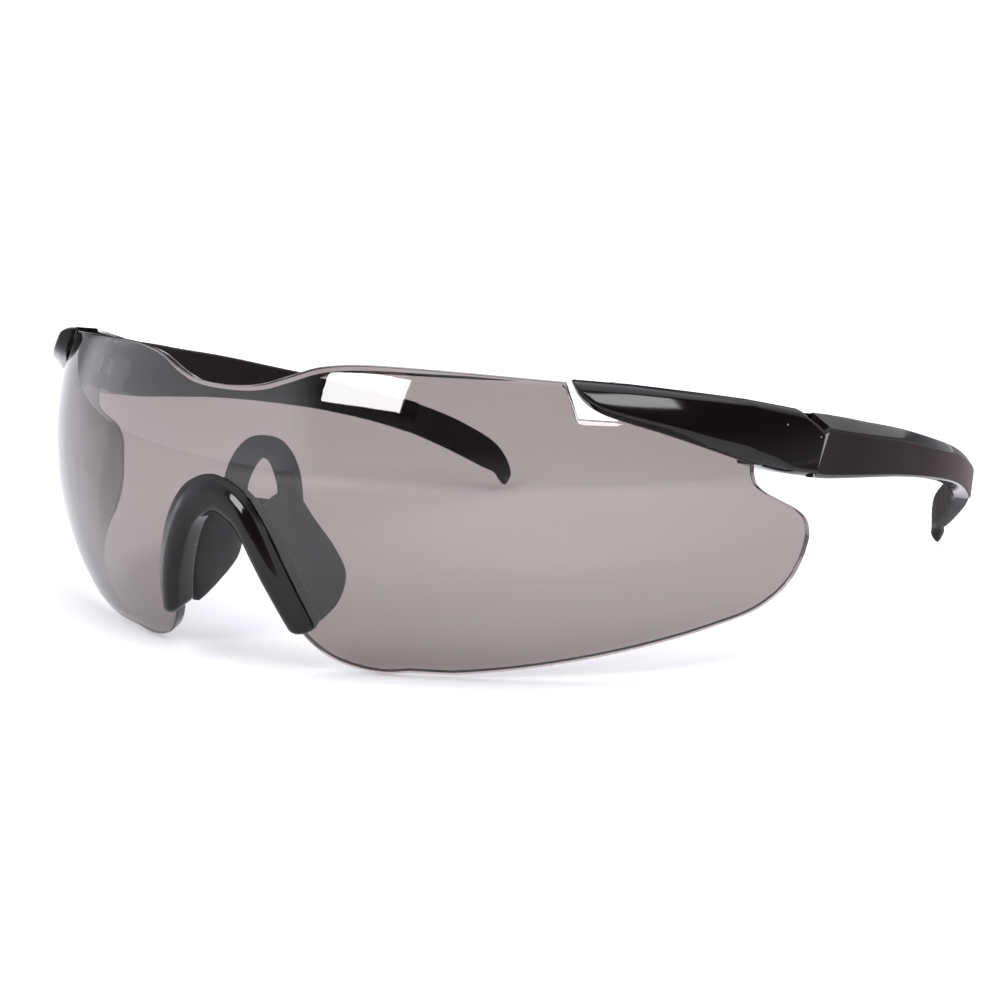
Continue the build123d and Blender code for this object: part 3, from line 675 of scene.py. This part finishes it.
middle_x = mid_xy[:, :, 0] - PAD_THICK / 2
outer_x = middle_x + half_thick * edge_fade
inner_x = middle_x - half_thick * edge_fade
level = np.broadcast_to(WING[:, :1], outer_x.shape)
wing_loops = np.concatenate([
    np.stack([outer_x, mid_xy[:, :, 1], level], axis=2),
    np.stack([inner_x, mid_xy[:, :, 1], level], axis=2)[:, ::-1]], axis=1)
left_wing = closed_loft(wing_loops)

# the flat loop: (x, z) of its upper edge and of the opening in it. The curves start a little to the right of
# the middle so that they cross it level, and the samples before it are left out.
LOOP_Y, LOOP_THICK = 12.9, 1.8
LOOP_STEPS, BEFORE_MIDDLE = 48, 8
half_crest = smooth_curve(
    [(-2.7, 1.9), (0, 2.4), (2.7, 1.9), (5.0, 0.1), (6.6, -2.6), (7.5, -6.0), (7.9, -10.0)],
    LOOP_STEPS)[BEFORE_MIDDLE:]
half_opening = smooth_curve(
    [(-1.2, -1.5), (0, -0.85), (1.2, -1.5), (2.3, -2.9), (3.3, -5.3), (3.6, -7.6), (4.6, -10.2)],
    LOOP_STEPS)[BEFORE_MIDDLE:]
half_crest[0, 0], half_opening[0, 0] = 0.0, 0.0
crest = np.vstack([half_crest[:0:-1] * (-1, 1), half_crest])
opening = np.vstack([half_opening[:0:-1] * (-1, 1), half_opening])
ribbon_corners = np.array(((0.0, -1.0), (0.0, 1.0), (1.0, 1.0), (1.0, -1.0)))
ribbon = np.broadcast_to(ribbon_corners, (len(crest), 4, 2)).copy()
across = np.linalg.norm(crest - opening, axis=1)
ribbon[:, :, 0] *= across[:, None]
section = round_corners(ribbon, np.full(4, 0.6))
share = section[:, :, 0] / across[:, None]
xz = opening[:, None] + share[:, :, None] * (crest - opening)[:, None]
loop_y = LOOP_Y + section[:, :, 1] * (LOOP_THICK / 2)
loop = closed_loft(np.stack([xz[:, :, 0], loop_y, xz[:, :, 1]], axis=2))

# the bar across the loop: an ellipse 1.8 by 2.4 mm carried along a shallow arch z = -8.5 - 0.02 x squared
bar_x = np.linspace(-5.0, 5.0, 31)
bar_z = -8.5 - 0.02 * bar_x**2
tube = np.linspace(0, 2 * math.pi, 17)[:-1]
saddle = closed_loft(np.stack(np.broadcast_arrays(
    bar_x[:, None], LOOP_Y + 0.9 * np.cos(tube), bar_z[:, None] + 1.2 * np.sin(tube)), axis=2))
pad = mesh_piece("soft_nose_pad", *joined([left_wing, mirrored(left_wing), loop, saddle]), sharp_degrees=50)
pad.data.materials.append(matte_rubber)
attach(pad, "front")
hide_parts("nose_pad")

# ---------------------------------------------------------------- studio: table, soft boxes and camera
# A white table that reaches past the camera's view, in a dark room with a bright ceiling, a bright side at
# the wearer's front right and three soft boxes. A grey card on the table darkens what the temples reflect.
def flat_card(name, outline, height, made_of, colour):
    """Flat matte polygon with this (x, y) outline at this height, in metres."""
    mesh = bpy.data.meshes.new(name)
    mesh.from_pydata([(x, y, height) for x, y in outline], [], [tuple(range(len(outline)))])
    sheet = bpy.data.objects.new(name, mesh)
    bpy.context.scene.collection.objects.link(sheet)
    material, tree = new_material(made_of)
    card = add_node(tree, "ShaderNodeBsdfPrincipled", inputs={
        "Base Color": linear(colour), "Roughness": 1.0, "Specular IOR Level": 0.0})
    finish_surface(tree, card.outputs[0])
    sheet.data.materials.append(material)
    return sheet


# white card: an even white ground that takes soft shadows and gives no shine
TABLE = [(-14, -14), (14, -14), (14, 14), (-14, 14)]
table = flat_card("studio_table", TABLE, 0.0, "white card", "f7f7f7")

# grey card: seen in glossy reflections only, where it keeps the black plastic from mirroring the white table
FLAG = [(0.10, 0.05), (2.2, 0.45), (2.2, 2.2), (-0.9, 2.2), (-0.2, 0.5), (-0.04, 0.14)]
flag = flat_card("studio_flag", FLAG, 0.002, "grey card", "867c7c")
flag.visible_camera = flag.visible_diffuse = flag.visible_transmission = flag.visible_shadow = False

# the room's strength by direction: CEILING overhead, a pale sweep that falls from HORIZON at eye level to
# ROOM_DARK a little higher, and SIDE added in a soft-edged disc round SIDE_WAY
ROOM_DARK, HORIZON, CEILING, SIDE = 0.07, 0.5, 2.15, 1.3
SIDE_WAY = (-0.863, -0.498, 0.087)
world = bpy.data.worlds.new("studio")
bpy.context.scene.world = world
world.use_nodes = True
tree = world.node_tree
sky_way = add_node(tree, "ShaderNodeTexCoord").outputs["Generated"]
height_up = add_node(tree, "ShaderNodeSeparateXYZ", inputs={"Vector": sky_way}).outputs["Z"]
glow = add_node(tree, "ShaderNodeMapRange", {"interpolation_type": "SMOOTHSTEP"}, {
    "Value": height_up, "From Min": 0.6, "From Max": 0.78, "To Min": 0.0, "To Max": CEILING})
sweep = add_node(tree, "ShaderNodeMapRange", {"interpolation_type": "SMOOTHSTEP"}, {
    "Value": height_up, "From Min": 0.0, "From Max": 0.24, "To Min": HORIZON, "To Max": ROOM_DARK})
toward = add_node(tree, "ShaderNodeVectorMath", {"operation": "DOT_PRODUCT"}, {0: sky_way, 1: SIDE_WAY})
window = add_node(tree, "ShaderNodeMapRange", {"interpolation_type": "SMOOTHSTEP"}, {
    "Value": toward.outputs["Value"], "From Min": 0.62, "From Max": 0.79, "To Min": 0.0, "To Max": SIDE})
above = add_node(tree, "ShaderNodeMath", {"operation": "ADD"}, {
    0: glow.outputs["Result"], 1: sweep.outputs["Result"]})
total = add_node(tree, "ShaderNodeMath", {"operation": "ADD"}, {
    0: above.outputs[0], 1: window.outputs["Result"]})
tree.links.new(total.outputs[0], tree.nodes["Background"].inputs["Strength"])
tree.nodes["Background"].inputs["Color"].default_value = linear("f6f7ff")

LIT_PLACE = Vector((0.03, -0.06, 0.04))   # the soft boxes point here, at the lens's left half, m


def soft_box(name, turn, lift, wide, high, glow):
    """Rectangular area light one metre from LIT_PLACE at azimuth `turn` (0 in front, + to the wearer's left)
    and elevation `lift`, spanning `wide` by `high` degrees, with radiance `glow`."""
    turn, lift = math.radians(turn), math.radians(lift)
    way = Vector((math.sin(turn) * math.cos(lift), -math.cos(turn) * math.cos(lift), math.sin(lift)))
    lamp = bpy.data.lights.new(name, "AREA")
    lamp.shape = "RECTANGLE"
    lamp.size, lamp.size_y = 2 * math.tan(math.radians(wide / 2)), 2 * math.tan(math.radians(high / 2))
    lamp.energy = glow * math.pi * lamp.size * lamp.size_y
    holder = bpy.data.objects.new(name, lamp)
    bpy.context.scene.collection.objects.link(holder)
    holder.location = LIT_PLACE + way
    holder.rotation_euler = way.to_track_quat("Z", "Y").to_euler()


soft_box("front_box", -1.5, 30.0, 21.0, 12.0, 17.0)
soft_box("side_box", 73.0, 28.5, 25.0, 9.0, 12.0)
soft_box("back_box", 160.0, 25.0, 60.0, 32.0, 0.8)

CAMERA_PLACE = (0.28134, -0.40392, 0.10968)           # m
CAMERA_AZIMUTH = math.radians(34.737)
CAMERA_ELEVATION = math.radians(10.914)
CAMERA_ROLL = math.radians(0.163)
camera = bpy.data.cameras.new("camera")
camera.lens, camera.sensor_width = 103.869, 36.0
camera_object = bpy.data.objects.new("camera", camera)
bpy.context.scene.collection.objects.link(camera_object)
camera_object.location = CAMERA_PLACE
camera_object.rotation_mode = "XYZ"
camera_object.rotation_euler = (math.pi / 2 - CAMERA_ELEVATION, 0.0, CAMERA_AZIMUTH)
camera_object.rotation_euler.rotate_axis("Z", CAMERA_ROLL)
bpy.context.scene.camera = camera_object
bpy.context.scene.view_settings.view_transform = "Standard"
